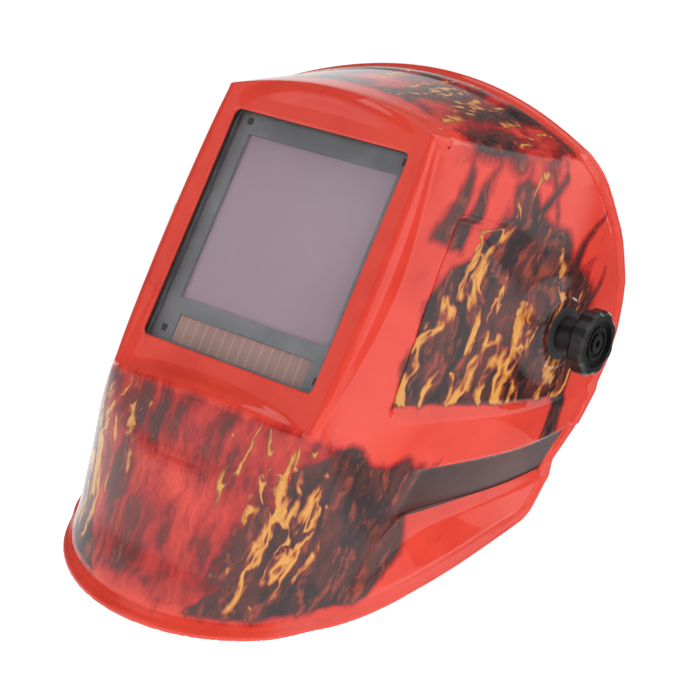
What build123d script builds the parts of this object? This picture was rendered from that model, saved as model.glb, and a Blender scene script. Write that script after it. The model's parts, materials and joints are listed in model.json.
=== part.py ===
"""Welding helmet with an auto-darkening filter and a ratchet headgear.

Frame: as worn. +X is the wearer's left, -Y is forward, +Z is up. The origin is the middle of the
tilt axis, halfway between the two tension knobs. Lengths are millimetres.
The visor parts are drawn in the lens frame: y runs back from the flat visor face and z runs up
from the lens centre. LENS moves them into the helmet's frame.
"""
import math
import os

from build123d import *

# Driving dimensions: visor and shell
FACE_FORWARD = 100.0                 # flat visor face to tilt axis
LENS_DROP = 17.0                     # lens centre below tilt axis
WINDOW_W, WINDOW_H = 112.0, 127.0    # opening in the visor face
PLATE_W, PLATE_H = 114.3, 133.4      # standard 4.5 x 5.25 in cover plate
VIEW_W, VIEW_H = 97.0, 92.7          # clear view of the filter
VIEW_Z = 7.4                         # view centre above the lens centre
WALL = 3.0                           # shell thickness
ROOF_RISE = 0.537                    # roof slope, rise per unit of depth
ROOF_RADIUS = 200.0                  # roof arch, side to side
BROW_Z, BROW_Y = 83.5, -5.0          # front edge of the roof, lens frame
BOSS_OUT, BOSS_IN, BOSS_R = 117.5, 107.5, 18.0

# Filter cartridge: depths behind the visor face, then places across it
COVER_Y = (4.5, 5.6)
HOLDER_Y0, HOLDER_Y1 = 5.7, 22.5
FRONT_Y = (9.5, 11.5)
GLASS_Y = (11.6, 12.6)
SHUTTER_Y = (12.7, 15.2)
REAR_Y = (11.6, 21.0)
BOARD_Y = (12.6, 13.8)
BAY_Y1 = 18.5                        # rear wall of the electronics bay
BAY_Z = -53.5                        # centre line of the bay
SCREW_X, SCREW_Z = 45.0, 74.0
CELL_R, CELL_X = 10.0, 40.0
CAP_R = 11.0
BUTTONS = {"power": -23.5, "mode": -16.5, "down": 16.5, "up": 23.5}
BUTTON_R = 2.6
SOLAR_W, SOLAR_H, SOLAR_Z = 87.0, 14.6, -54.6
SENSORS = [(-50.5, -56.5), (50.5, -56.5), (-50.5, 60.5), (50.5, 60.5)]
LATCH_X, LATCH_Z = 64.0, 42.0
RAIL_Y1, RAIL_TOP, RAIL_FLOOR = 27.5, 20.0, -41.0

# Tilt pivots and tension knobs
BOLT_R = 4.0
RUN = 0.08                           # radial running clearance
KNOB_R, KNOB_LOBES = 17.4, 8
KNOB_NECK_X, KNOB_RIM_X, KNOB_FACE_X = 119.0, 130.4, 140.0
CARRIER_X = (83.4, 87.8)             # plate that slides fore and aft
TOWER_X, TOWER_R = 107.2, 13.0       # outer end and radius of its tower
ARM_X, ARM_HALF = (94.0, 99.0), 3.0
RIB_Z, RAIL_Z = 20.0, 17.0           # outside and inside of the bracket's rails

# Headband and crown strap
BAND_X = 80.0                        # half width outside the headband
BAND_T = 2.5
BAND_CENTRE_Y, BAND_FRONT_Y, BAND_END_Y = 24.0, -58.0, 58.0
BAND_Z0, BAND_Z1 = 9.0, 41.0
BRACKET_X = (BAND_X + 0.05, 83.0)
RIVET_Y, RIVET_Z = (34.0, 45.0), 23.0
PIN_BORE_R = 1.55
CROWN_Y, CROWN_W, CROWN_T = 18.5, 18.0, 1.6
CROWN_HALF = 76.0
CROWN_BASE_Z, CROWN_RISE, CROWN_FOOT_Z = 38.0, 58.0, 20.0
CROWN_PIN_Z = 28.0
CROWN_PITCH = 8.0                    # between the holes at the top

# Rear straps and size ratchet, in the rear frame
STRAP_START = (44.0, 22.0)           # y and z of the rear frame's origin
STRAP_DROP = 24.0                    # degrees that the rear strap points down
STRAP_T, STRAP_H = 2.0, 20.0
STRAP_END = 4.0                      # free end of the strap
STRAP_STRAIGHT, STRAP_REACH = 22.0, 72.0
STRAP_X = 75.2
HOUSING_HALF, HOUSING_H = 33.0, 30.0
RACK_Z, TOOTH_PITCH = 4.2, 2.4
PINION_R = 4.0
PINION_Y = STRAP_STRAIGHT + STRAP_REACH - 1.0
COVER_OUT = STRAP_STRAIGHT + 79.0
SIZE_KNOB_R = 17.0

LENS = Location((0, -FACE_FORWARD, -LENS_DROP))
REAR = Location((0, *STRAP_START), (-STRAP_DROP, 0, 0))


def block(x, y, z):
    """Box between the low and high value of each axis."""
    middle = [(low + high) / 2 for low, high in (x, y, z)]
    return Pos(*middle) * Box(x[1] - x[0], y[1] - y[0], z[1] - z[0])


def panel(width, height, corner, y0, y1, x=0.0, z=0.0):
    """Upright plate with rounded corners, from depth y0 to depth y1."""
    plane = Plane(origin=(x, y0, z), x_dir=(1, 0, 0), z_dir=(0, 1, 0))
    return extrude(plane * RectangleRounded(width, height, corner), amount=y1 - y0)


def rod_x(x0, x1, radius, y=0.0, z=0.0):
    """Round bar along X."""
    plane = Plane(origin=(x0, y, z), x_dir=(0, 1, 0), z_dir=(1, 0, 0))
    return extrude(plane * Circle(radius), amount=x1 - x0)


def rod_y(y0, y1, radius, x=0.0, z=0.0):
    """Round bar along Y."""
    plane = Plane(origin=(x, y0, z), x_dir=(1, 0, 0), z_dir=(0, 1, 0))
    return extrude(plane * Circle(radius), amount=y1 - y0)


def both(shape):
    """Left and right copies of a piece that is drawn on the wearer's left."""
    return {"left": shape, "right": mirror(shape, about=Plane.YZ)}


# Shell

# Horizontal sections of the walls, lens frame: height, half width, reach of the side ellipse,
# depth of its centre, depth of the nose outside and inside, half width of the front corner.
SECTIONS = [
    (-214.0, 110.0, 110.0, 110.5, 0.5, 3.5, 60.0),
    (-157.0, 110.0, 110.0, 111.5, 1.5, 4.5, 62.0),
    (-120.0, 111.0, 156.0, 132.0, -3.0, 0.5, 69.0),
    (-98.0, 112.0, 178.0, 144.0, -6.5, -2.0, 67.0),
    (-82.0, 112.5, 186.0, 150.0, -8.5, 3.0, 65.5),
    (-40.0, 117.0, 177.0, 150.0, -7.5, 3.0, 61.5),
    (0.0, 119.5, 172.0, 150.0, -7.0, 3.0, 58.8),
    (40.0, 119.5, 174.0, 150.0, -6.5, 3.0, 60.0),
    (75.0, 118.0, 178.0, 150.0, -5.5, 3.0, 63.0),
    (145.0, 112.0, 178.0, 150.0, -5.0, 3.0, 58.0),
]
# Edge of the shell seen from the side, lens frame (depth, height)
RIM = [(-60, -242), (57, -158), (137, -92), (152, -55), (158.5, -30), (159, 38), (138, 68),
       (99, 98), (94, 126), (88, 150), (88, 210), (-60, 210)]
SECTION_BACK = 175.0


def wall_section(height, half, reach, centre, nose, corner, inset):
    """Left half of a horizontal section: bowed front, elliptical side, square back."""
    a, b = half - inset, reach - inset
    corner = corner - 0.6 * inset
    start = math.asin(corner / a)
    side = []
    for step in range(5):
        angle = start + (math.pi / 2 - start) * step / 4
        side.append((a * math.sin(angle), centre - b * math.cos(angle)))
    front = TangentArc((0, nose), side[0], tangent=(1, 0))
    flank = Spline(*side, tangents=[(math.cos(start) * a, math.sin(start) * b), (0, 1)])
    back = Polyline(side[-1], (a, SECTION_BACK), (0, SECTION_BACK), (0, nose))
    return Pos(0, 0, height) * make_face(Curve() + [front, flank, back])


def walls(inset):
    sections = []
    for height, half, reach, centre, nose_out, nose_in, corner in SECTIONS:
        nose = nose_in if inset else nose_out
        sections.append(wall_section(height, half, reach, centre, nose, corner, inset))
    return loft(sections, ruled=True)


def under_roof(drop):
    """Everything below the arched, rising roof."""
    y0, half, floor = -60.0, 135.0, -260.0
    top = BROW_Z + ROOF_RISE * (y0 - BROW_Y) - drop
    eaves = top - ROOF_RADIUS + math.sqrt(ROOF_RADIUS ** 2 - half ** 2)
    plane = Plane(origin=(0, y0, 0), x_dir=(1, 0, 0), z_dir=(0, -1, 0))
    arch = ThreePointArc((-half, eaves), (0, top), (half, eaves))
    sides = Polyline((half, eaves), (half, floor), (-half, floor), (-half, eaves))
    outline = plane * make_face(Curve() + [arch, sides])
    return extrude(outline, amount=300.0, dir=(0, 1, ROOF_RISE))


def visor_block():
    """Flat visor plate with side bevels that are widest at mid height."""
    sections = []
    for height in (-81.4, -70.0, -50.0, -27.0, -4.0, 20.0, 45.0, 62.0, 73.4):
        swell = 1 - ((height + 4) / 77.6) ** 2
        plate, edge, depth = 65.5 + 2 * swell, 66 + 7 * swell, 1 + 12.6 * swell
        outline = [(-edge, depth), (-plate, 0), (plate, 0), (edge, depth)]
        sections.append(Pos(0, 0, height) * make_face(Polyline(*outline, close=True)))
    return loft(sections, ruled=True)


def face_pocket():
    """Space in front of the visor plate, between the brow and the sloping chin ledge."""
    faces = []
    for y, low, high in ((0.0, 0.0, 0.0), (-30.0, -28.0, 9.0)):
        plane = Plane(origin=(0, y, 0), x_dir=(1, 0, 0), z_dir=(0, -1, 0))
        bottom = ThreePointArc((-80, -87 + low), (0, -73 + low), (80, -87 + low))
        top = ThreePointArc((80, 66 + high), (0, 75 + high), (-80, 66 + high))
        right = Line((80, -87 + low), (80, 66 + high))
        left = Line((-80, 66 + high), (-80, -87 + low))
        faces.append(plane * make_face(Curve() + [bottom, right, top, left]))
    return loft(faces, ruled=True)


def rim_prism():
    """What lies in front of the shell's edge."""
    plane = Plane(origin=(-150, 0, 0), x_dir=(0, 1, 0), z_dir=(1, 0, 0))
    outline = FilletPolyline(*RIM, radius=8, close=True)
    return extrude(plane * make_face(outline), amount=300)


def helmet_shell():
    """The left half of the shell, and its mirror image."""
    left_half = block((0, 150), (-80, 220), (-260, 220))
    outer = (walls(0) & under_roof(0)) + (visor_block() & left_half)
    inner = walls(WALL) & under_roof(WALL * 1.13)
    half = (outer - face_pocket() - inner) & rim_prism()
    half = half - panel(WINDOW_W, WINDOW_H, 3, -20, 12)
    for z in (-SCREW_Z, SCREW_Z):
        half = half + rod_y(2, HOLDER_Y0, 4.5, SCREW_X, z)
        half = half - rod_y(3.2, 12, 1.5, SCREW_X, z)
    half = LENS * half
    half = half + rod_x(BOSS_IN, BOSS_OUT, BOSS_R) + stop_lug()
    half = half - rod_x(BOSS_IN - 5, BOSS_OUT + 9, BOLT_R + RUN)
    return half + mirror(half, about=Plane.YZ)


def stop_lug():
    """Lug inside the shell that lands on the stop arm when the visor is down."""
    return block((ARM_X[0], 104), (-32, -24), (ARM_HALF + 0.1, 8))


# Filter cartridge and its holder, lens frame

def window_gasket():
    ring = panel(PLATE_W - 0.3, PLATE_H - 0.9, 3, 3.0, COVER_Y[0])
    return ring - panel(WINDOW_W + 0.8, WINDOW_H + 0.8, 3, 0, 9)


def front_cover_lens():
    return panel(PLATE_W, PLATE_H, 3, *COVER_Y)


def lens_holder():
    """Tray that carries the cover plate and the cartridge, screwed to four shell bosses."""
    tray = panel(117.5, 137, 4, HOLDER_Y0, 8) + panel(121, 140, 5, 8, HOLDER_Y1)
    tray = tray - panel(112, 129, 3, 0, 8) - panel(PLATE_W + 0.5, PLATE_H + 0.5, 3, 7, 30)
    for side in (1, -1):
        lug = panel(9, 22, 2, 15, HOLDER_Y1, side * 62.5, LATCH_Z)
        tray = tray + (lug - block((-57.4, 57.4), (0, 30), (-80, 80)))
        tray = tray - rod_y(16.5, 30, 1.55, side * LATCH_X, LATCH_Z)
        for z in (-SCREW_Z, SCREW_Z):
            ear = panel(11, 10, 2, HOLDER_Y0, 8.2, side * SCREW_X, z)
            tray = tray + ear - rod_y(0, 12, 1.55, side * SCREW_X, z)
    return tray


def holder_screws():
    screws = []
    for x in (-SCREW_X, SCREW_X):
        for z in (-SCREW_Z, SCREW_Z):
            shank = rod_y(3.4, 8.2, 1.4, x, z)
            head = rod_y(8.2, 10.4, 3.0, x, z)
            screws.append(shank + head - block((x - 2, x + 2), (9.6, 11), (z - 0.4, z + 0.4)))
    return Compound(children=screws)


def filter_housing_front():
    front = panel(PLATE_W, PLATE_H, 3, *FRONT_Y)
    front = front - panel(VIEW_W, VIEW_H, 1, 0, 20, 0, VIEW_Z)
    front = front - panel(SOLAR_W + 0.2, SOLAR_H + 0.2, 0.5, 0, 20, 0, SOLAR_Z)
    for x, z in SENSORS:
        front = front - block((x - 2, x + 2), (0, 20), (z - 2, z + 2))
    return front


def light_sensors():
    chips = [block((x - 1.9, x + 1.9), (10.1, 11.4), (z - 1.9, z + 1.9)) for x, z in SENSORS]
    return Compound(children=chips)


def solar_cell():
    return panel(SOLAR_W, SOLAR_H, 0.4, 10.2, 11.4, 0, SOLAR_Z)


def filter_housing_rear():
    rear = panel(PLATE_W, PLATE_H, 3, *REAR_Y)
    rear = rear - panel(VIEW_W, VIEW_H - 2, 2, 0, 30, 0, VIEW_Z)
    rear = rear - panel(100.6, 95.6, 1, 0, SHUTTER_Y[1] + 0.2, 0, VIEW_Z)
    rear = rear - block((-53, 53), (0, BAY_Y1), (BAY_Z - 11, BAY_Z + 11))
    rear = rear - panel(24.2, 10.2, 1, 0, 30, 0, BAY_Z)
    for x in BUTTONS.values():
        rear = rear - rod_y(15, 30, BUTTON_R + RUN, x, BAY_Z)
    for x in (-CELL_X, CELL_X):
        rear = rear - rod_y(15, 30, CAP_R + RUN, x, BAY_Z)
    return rear


def button(x):
    """Push button that faces the wearer, with a retaining flange behind the housing wall."""
    cap = rod_y(BAY_Y1 - 0.05, 22.2, BUTTON_R, x, BAY_Z)
    flange = rod_y(16.6, BAY_Y1 - 0.05, 3.4, x, BAY_Z)
    return cap + flange + rod_y(15.1, 16.6, 1.5, x, BAY_Z)


def battery(x):
    return rod_y(14.5, 17.7, CELL_R, x, BAY_Z) + rod_y(14.4, 14.5, 8.5, x, BAY_Z)


def battery_cap(x):
    disc = rod_y(BAY_Y1 + 0.1, REAR_Y[1], CAP_R, x, BAY_Z)
    return disc + block((x - 8, x + 8), (REAR_Y[1], 22.6), (BAY_Z - 1.3, BAY_Z + 1.3))


def battery_contacts():
    strips = [block((x - 4, x + 4), (13.8, 14.3), (BAY_Z - 4, BAY_Z + 4)) for x in (-CELL_X, CELL_X)]
    return Compound(children=strips)


def retaining_latch(side):
    """Quarter-turn latch, closed: it reaches inwards over the cartridge."""
    x = side * LATCH_X
    tongue = panel(14, 8, 2, 22.6, 24.8, x - side * 7, LATCH_Z) + rod_y(22.6, 24.8, 4, x, LATCH_Z)
    return tongue - rod_y(20, 30, 1.5 + RUN, x, LATCH_Z)


def latch_screws():
    screws = []
    for x in (-LATCH_X, LATCH_X):
        shank = rod_y(17, 24.9, 1.5, x, LATCH_Z)
        screws.append(shank + rod_y(24.9, 26.4, 3.0, x, LATCH_Z))
    return Compound(children=screws)


def magnifier_rail():
    """U-shaped rail for a 2 by 4.25 inch magnifier, open at the top."""
    outer = block((-59, 59), (HOLDER_Y1, RAIL_Y1), (RAIL_FLOOR, RAIL_TOP))
    throat = block((-52.5, 52.5), (0, 40), (RAIL_FLOOR + 4, 60))
    groove = block((-54.4, 54.4), (23.8, 26.2), (RAIL_FLOOR + 2, 60))
    return outer - throat - groove


# Tilt pivots and knobs, wearer's left

def pivot_carrier():
    """Sliding plate with the tower that spaces the shell from the headband."""
    plate = block(CARRIER_X, (-18, 18), (-16.8, 16.8))
    tower = rod_x(CARRIER_X[1], TOWER_X, TOWER_R)
    bore = rod_x(80, 120, BOLT_R + RUN) + rod_x(80, 86.6, 9.3)
    return plate + tower - bore


def pivot_bolt():
    return rod_x(83.5, 86.5, 9.2) + rod_x(86.5, 136, BOLT_R)


def stop_arm():
    ring = rod_x(*ARM_X, 16.5) + block(ARM_X, (-33, -13), (-ARM_HALF, ARM_HALF))
    return ring - rod_x(90, 110, TOWER_R + 0.05)


def friction_washer():
    return rod_x(BOSS_OUT + 0.1, KNOB_NECK_X, 14) - rod_x(100, 130, BOLT_R + RUN)


def knob():
    """Scalloped hand knob: narrow neck, rounded lobed rim, dished face with a ringed hub."""
    plane = Plane(origin=(KNOB_RIM_X, 0, 0), x_dir=(0, 1, 0), z_dir=(1, 0, 0))
    outline = Circle(KNOB_R)
    for dip in PolarLocations(KNOB_R + 9.8, KNOB_LOBES, start_angle=22.5):
        outline = outline - dip * Circle(11.0)
    outline = fillet(outline.vertices(), 2.4)
    rim = extrude(plane * outline, amount=KNOB_FACE_X - KNOB_RIM_X)
    ends = rim.faces().sort_by(Axis.X)
    rim = fillet(ends[-1].edges() + ends[0].edges(), 2.2)
    neck = rod_x(KNOB_NECK_X + 0.1, KNOB_RIM_X + 2, 9.2)
    dish = rod_x(KNOB_FACE_X - 2.4, KNOB_FACE_X + 1, 12.4)
    ring = rod_x(KNOB_FACE_X - 2.4, KNOB_FACE_X - 1.0, 8.6) - rod_x(100, KNOB_FACE_X, 7.4)
    hub = rod_x(KNOB_FACE_X - 2.4, KNOB_FACE_X - 0.8, 5.0) - rod_x(100, KNOB_FACE_X, 2.0)
    socket = rod_x(100, 136.2, 6.4)
    return rim + neck - dish + ring + hub - socket


def knob_insert():
    return rod_x(KNOB_NECK_X + 0.1, 134, 6.4) - rod_x(100, 140, BOLT_R + RUN)


# Headgear

def band_outline(half, reach, back):
    """Front half ellipse with straight sides that run to the back."""
    front = Pos(0, BAND_CENTRE_Y) * Ellipse(half, reach)
    front = front & (Pos(0, BAND_CENTRE_Y - 100) * Rectangle(300, 200))
    depth = back - BAND_CENTRE_Y
    return front + Pos(0, BAND_CENTRE_Y + depth / 2) * Rectangle(2 * half, depth)


def ring_front(half, thick, back, z0, z1):
    reach = half + BAND_CENTRE_Y - BAND_FRONT_Y - BAND_X
    outline = band_outline(half, reach, back) - band_outline(half - thick, reach - thick, back + 1)
    return Pos(0, 0, z0) * extrude(outline, amount=z1 - z0)


def headband():
    """Front and sides of the headband; the sides are narrower than the forehead."""
    band = ring_front(BAND_X, BAND_T, BAND_END_Y, BAND_Z0, BAND_Z1)
    band = band - block((-90, 90), (10, 70), (36, 50))
    for side in (1, -1):
        for y in RIVET_Y:
            band = band - rod_x(*sorted((side * 70, side * 90)), PIN_BORE_R, y, RIVET_Z)
        band = band - rod_x(*sorted((side * 70, side * 90)), PIN_BORE_R, CROWN_Y, CROWN_PIN_Z)
    return band


def sweatband():
    pad = ring_front(BAND_X - BAND_T - 0.2, 6.0, BAND_END_Y, BAND_Z0 + 1, BAND_Z1 - 1)
    return pad & block((-90, 90), (-80, -6), (0, 60))


def side_bracket():
    """Channel that the pivot carrier slides in, riveted to the headband."""
    length = (-36, 22)
    plate = block(BRACKET_X, length, (-RIB_Z, RIB_Z)) + block(BRACKET_X, (10, 50), (8, 34))
    rail = block((BRACKET_X[1], 89.6), length, (RAIL_Z, RIB_Z))
    lip = block((88.1, 89.6), length, (14, RAIL_Z))
    bracket = plate + rail + lip + mirror(rail + lip, about=Plane.XY)
    for stop in ((length[0], -34.2), (20.2, length[1])):
        bracket = bracket + block((BRACKET_X[1], 88), stop, (-RAIL_Z, RAIL_Z))
    for y in RIVET_Y:
        bracket = bracket - rod_x(70, 90, PIN_BORE_R, y, RIVET_Z)
    return bracket


def bracket_rivets():
    """Shank with a head against the band and one against the bracket, two on each side."""
    rivets = []
    for y in RIVET_Y:
        shank = rod_x(BAND_X - BAND_T, BRACKET_X[1], 1.5, y, RIVET_Z)
        inner_head = rod_x(BAND_X - BAND_T - 1.1, BAND_X - BAND_T, 3, y, RIVET_Z)
        outer_head = rod_x(BRACKET_X[1], BRACKET_X[1] + 1.2, 3, y, RIVET_Z)
        rivets += both(shank + inner_head + outer_head).values()
    return Compound(children=rivets)


def band_keeper():
    """Loop inside the end of the headband that guides the rear strap."""
    loop = block((70.6, BAND_X - BAND_T - 0.05), (50, 57), (1, 35))
    return loop - block((72.0, 75.5), (40, 60), (4, 31.5))


def crown_strap(half, past):
    """One half of the crown strap, wearer's left: upright foot, then a quarter ellipse."""
    rise = CROWN_RISE - (CROWN_HALF - half)
    plane = Plane(origin=(0, CROWN_Y - CROWN_W / 2, 0), x_dir=(1, 0, 0), z_dir=(0, 1, 0))
    arch = Ellipse(half, rise) - Ellipse(half - CROWN_T, rise - CROWN_T)
    arch = arch & (Pos(75 - past, -60) * Rectangle(150, 120))
    foot_height = CROWN_BASE_Z - CROWN_FOOT_Z
    foot = Pos(half - CROWN_T / 2, foot_height / 2) * Rectangle(CROWN_T, foot_height)
    strap = extrude(plane * (Pos(0, -CROWN_BASE_Z) * (arch + foot)), amount=CROWN_W)
    strap = strap - rod_x(60, 90, PIN_BORE_R, CROWN_Y, CROWN_PIN_Z)
    for step in (-2, -1, 0, 1, 2):
        bore = Plane(origin=(step * CROWN_PITCH, CROWN_Y, 80), z_dir=(0, 0, 1)) * Circle(1.9)
        strap = strap - extrude(bore, amount=40)
    return strap


def rod_z(z0, z1, radius, y):
    """Round bar along Z, in the middle of the headgear."""
    return extrude(Plane(origin=(0, y, z0)) * Circle(radius), amount=z1 - z0)


def crown_pins():
    """Button pin through both straps at the top, and a pin through the band at each foot."""
    top = CROWN_BASE_Z + CROWN_RISE
    under = top - 2 * CROWN_T - 0.1
    button_pin = rod_z(under - 0.1, top + 0.1, 1.8, CROWN_Y)
    button_pin = button_pin + rod_z(under - 1.1, under - 0.1, 4, CROWN_Y)
    button_pin = button_pin + rod_z(top + 0.1, top + 1.1, 3, CROWN_Y)
    foot_pin = rod_x(72, BAND_X, 1.5, CROWN_Y, CROWN_PIN_Z)
    foot_pin = foot_pin + rod_x(71.2, 72.6, 3, CROWN_Y, CROWN_PIN_Z)
    return Compound(children=[button_pin, *both(foot_pin).values()])


# Rear strap and size ratchet, drawn in the rear frame: y runs back along the strap

def rear_band(half, thick, z0, z1):
    """Closed rear half ellipse between two heights, outer half width given."""
    reach = half + STRAP_REACH - STRAP_X
    ring = Ellipse(half, reach) - Ellipse(half - thick, reach - thick)
    ring = ring & (Pos(0, 100) * Rectangle(300, 200))
    return Pos(0, STRAP_STRAIGHT, z0) * extrude(ring, amount=z1 - z0)


def rear_strap():
    """Left strap: straight end, quarter ellipse, then a narrow rack that runs past the middle."""
    top, low = STRAP_H / 2, -STRAP_H / 2
    strap = rear_band(STRAP_X, STRAP_T, low, top) & block((0, 100), (-10, 120), (-20, 20))
    strap = strap + block((STRAP_X - STRAP_T, STRAP_X), (STRAP_END, STRAP_STRAIGHT), (low, top))
    strap = strap - block((-1, HOUSING_HALF - 4), (60, 120), (-20, RACK_Z))
    rear_y = STRAP_STRAIGHT + STRAP_REACH
    strap = strap + block((-14, 0.5), (rear_y - STRAP_T - 0.3, rear_y - 0.3), (RACK_Z, top))
    for tooth in range(16):
        x = -12.5 + tooth * TOOTH_PITCH
        strap = strap - block((x, x + 1.1), (80, 120), (0, RACK_Z + 1.2))
    return strap


def ratchet_housing():
    """Inner shell of the ratchet, next to the nape pad."""
    body = rear_band(76.2, 9.0, -HOUSING_H / 2, HOUSING_H / 2)
    body = body & block((-HOUSING_HALF, HOUSING_HALF), (0, 130), (-20, 20))
    body = body - rear_band(76.3, 3.6, -10.4, 10.4)
    return body - rod_y(85, 120, PINION_R + 0.3)


def ratchet_cover():
    body = rear_band(82.2, 5.9, -HOUSING_H / 2, HOUSING_H / 2)
    body = body & block((-HOUSING_HALF, HOUSING_HALF), (0, 130), (-20, 20))
    return body - rod_y(85, 120, 3.0 + RUN) - rod_y(85, STRAP_STRAIGHT + 74.6, PINION_R + 0.4)


def ratchet_pinion():
    gear = Circle(PINION_R)
    for slot in PolarLocations(PINION_R, 10):
        gear = gear - slot * Circle(0.55)
    plane = Plane(origin=(0, PINION_Y - 2, 0), x_dir=(1, 0, 0), z_dir=(0, 1, 0))
    return extrude(plane * gear, amount=4) + rod_y(PINION_Y + 2, COVER_OUT + 8, 3.0)


def size_knob():
    """Ribbed dial on the pinion's shaft."""
    plane = Plane(origin=(0, COVER_OUT + 0.5, 0), x_dir=(1, 0, 0), z_dir=(0, 1, 0))
    dial = Circle(SIZE_KNOB_R)
    for rib in PolarLocations(SIZE_KNOB_R + 0.6, 20):
        dial = dial - rib * Circle(1.6)
    knob_body = extrude(plane * dial, amount=13)
    return knob_body - rod_y(COVER_OUT, COVER_OUT + 8.1, 3.0)


def detent_spring():
    """Flat ring with a click tongue, seated on the cover around the shaft."""
    return rod_y(COVER_OUT + 0.02, COVER_OUT + 0.4, 9.0) - rod_y(90, 120, 3.3)


def nape_pad():
    pad = rear_band(66.9, 7.5, -14, 14)
    return pad & block((-42, 42), (0, 130), (-20, 20))


def all_nodes():
    nodes = {"helmet_shell": helmet_shell()}
    in_lens_frame = {
        "window_gasket": window_gasket(),
        "front_cover_lens": front_cover_lens(),
        "lens_holder": lens_holder(),
        "holder_screws": holder_screws(),
        "filter_housing_front": filter_housing_front(),
        "light_sensors": light_sensors(),
        "solar_cell": solar_cell(),
        "uv_ir_filter": panel(100, 95, 0.8, *GLASS_Y, 0, VIEW_Z),
        "lcd_shutter": panel(100, 95, 0.8, *SHUTTER_Y, 0, VIEW_Z),
        "filter_housing_rear": filter_housing_rear(),
        "inner_cover_lens": panel(104, 95.6, 3, 21.05, 22.05, 0, VIEW_Z),
        "control_board": block((-52, 52), BOARD_Y, (BAY_Z - 10, BAY_Z + 10)),
        "display_window": panel(24, 10, 0.9, 18.6, REAR_Y[1] - 0.1, 0, BAY_Z),
        "battery_contacts": battery_contacts(),
        "latch_screws": latch_screws(),
        "magnifier_rail": magnifier_rail(),
    }
    for name, x in BUTTONS.items():
        in_lens_frame["button_" + name] = button(x)
    for name, side in (("left", 1), ("right", -1)):
        in_lens_frame["battery_" + name] = battery(side * CELL_X)
        in_lens_frame["battery_cap_" + name] = battery_cap(side * CELL_X)
        in_lens_frame["retaining_latch_" + name] = retaining_latch(side)
    for name, shape in in_lens_frame.items():
        nodes[name] = LENS * shape

    paired = {
        "pivot_carrier": pivot_carrier(),
        "pivot_bolt": pivot_bolt(),
        "stop_arm": stop_arm(),
        "friction_washer": friction_washer(),
        "knob": knob(),
        "knob_insert": knob_insert(),
        "side_bracket": side_bracket(),
        "band_keeper": band_keeper(),
    }
    for name, shape in paired.items():
        for side, copy in both(shape).items():
            nodes[name + "_" + side] = copy

    nodes["headband"] = headband()
    nodes["sweatband"] = sweatband()
    nodes["bracket_rivets"] = bracket_rivets()
    nodes["crown_strap_left"] = crown_strap(CROWN_HALF, 24)
    nodes["crown_strap_right"] = mirror(crown_strap(CROWN_HALF - CROWN_T - 0.1, 24), about=Plane.YZ)
    nodes["crown_pins"] = crown_pins()

    left_strap = rear_strap()
    right_strap = mirror(mirror(left_strap, about=Plane.YZ), about=Plane.XY)
    in_rear_frame = {
        "rear_strap_left": left_strap,
        "rear_strap_right": right_strap,
        "ratchet_housing": ratchet_housing(),
        "ratchet_cover": ratchet_cover(),
        "ratchet_pinion": ratchet_pinion(),
        "size_knob": size_knob(),
        "detent_spring": detent_spring(),
        "nape_pad": nape_pad(),
    }
    for name, shape in in_rear_frame.items():
        nodes[name] = REAR * shape
    return nodes


if __name__ == "__main__":
    os.makedirs("parts", exist_ok=True)
    for node_name, node_shape in all_nodes().items():
        export_step(node_shape, "parts/" + node_name + ".step")
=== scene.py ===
import json
import math

import bpy
import numpy as np
from mathutils import Matrix, Vector


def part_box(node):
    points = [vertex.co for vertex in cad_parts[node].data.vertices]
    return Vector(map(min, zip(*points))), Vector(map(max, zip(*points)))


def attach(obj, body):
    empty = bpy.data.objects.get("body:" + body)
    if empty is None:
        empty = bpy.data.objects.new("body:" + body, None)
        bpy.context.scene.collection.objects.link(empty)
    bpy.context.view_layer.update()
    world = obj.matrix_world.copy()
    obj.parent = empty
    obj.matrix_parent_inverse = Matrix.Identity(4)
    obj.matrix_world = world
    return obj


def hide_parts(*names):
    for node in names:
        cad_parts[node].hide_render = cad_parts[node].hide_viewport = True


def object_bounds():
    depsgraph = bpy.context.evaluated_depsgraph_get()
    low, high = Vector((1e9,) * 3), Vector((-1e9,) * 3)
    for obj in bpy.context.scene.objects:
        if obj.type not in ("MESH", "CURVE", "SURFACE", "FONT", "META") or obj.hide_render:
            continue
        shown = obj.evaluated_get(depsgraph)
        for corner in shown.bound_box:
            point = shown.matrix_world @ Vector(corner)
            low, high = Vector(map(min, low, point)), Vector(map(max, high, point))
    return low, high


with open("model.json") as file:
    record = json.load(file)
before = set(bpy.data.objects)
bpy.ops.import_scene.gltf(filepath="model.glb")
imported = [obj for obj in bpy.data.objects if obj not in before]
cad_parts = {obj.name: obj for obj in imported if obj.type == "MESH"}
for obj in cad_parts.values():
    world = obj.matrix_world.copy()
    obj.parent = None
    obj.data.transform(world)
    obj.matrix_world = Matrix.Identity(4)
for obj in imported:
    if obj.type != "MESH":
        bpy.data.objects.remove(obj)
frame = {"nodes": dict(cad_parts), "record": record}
cad_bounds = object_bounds()

MM = 0.001
NODES = frame["nodes"]
LENS_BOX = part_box("front_cover_lens")
FACE = next(m for m in frame["record"]["mounts"] if m["name"] == "visor_face")["pos_m"]
# Middle of the visor opening, on the flat face.
LENS_Y = FACE[1] / MM
LENS_Z = (LENS_BOX[0].z + LENS_BOX[1].z) / 2 / MM
# Tilt axis in the lens frame, whose origin is that middle.
PIVOT_Y, PIVOT_Z = -LENS_Y, -LENS_Z


# ---------------------------------------------------------------- smooth shapes as distance fields

# How near a rough field has to be to zero, in mm, before the exact field is worked out.
EXACT_WITHIN = 6
# How far each round of relaxing moves a surface net's points towards their neighbours.
RELAXING = (0.5, 0.3, 0.0)


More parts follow.
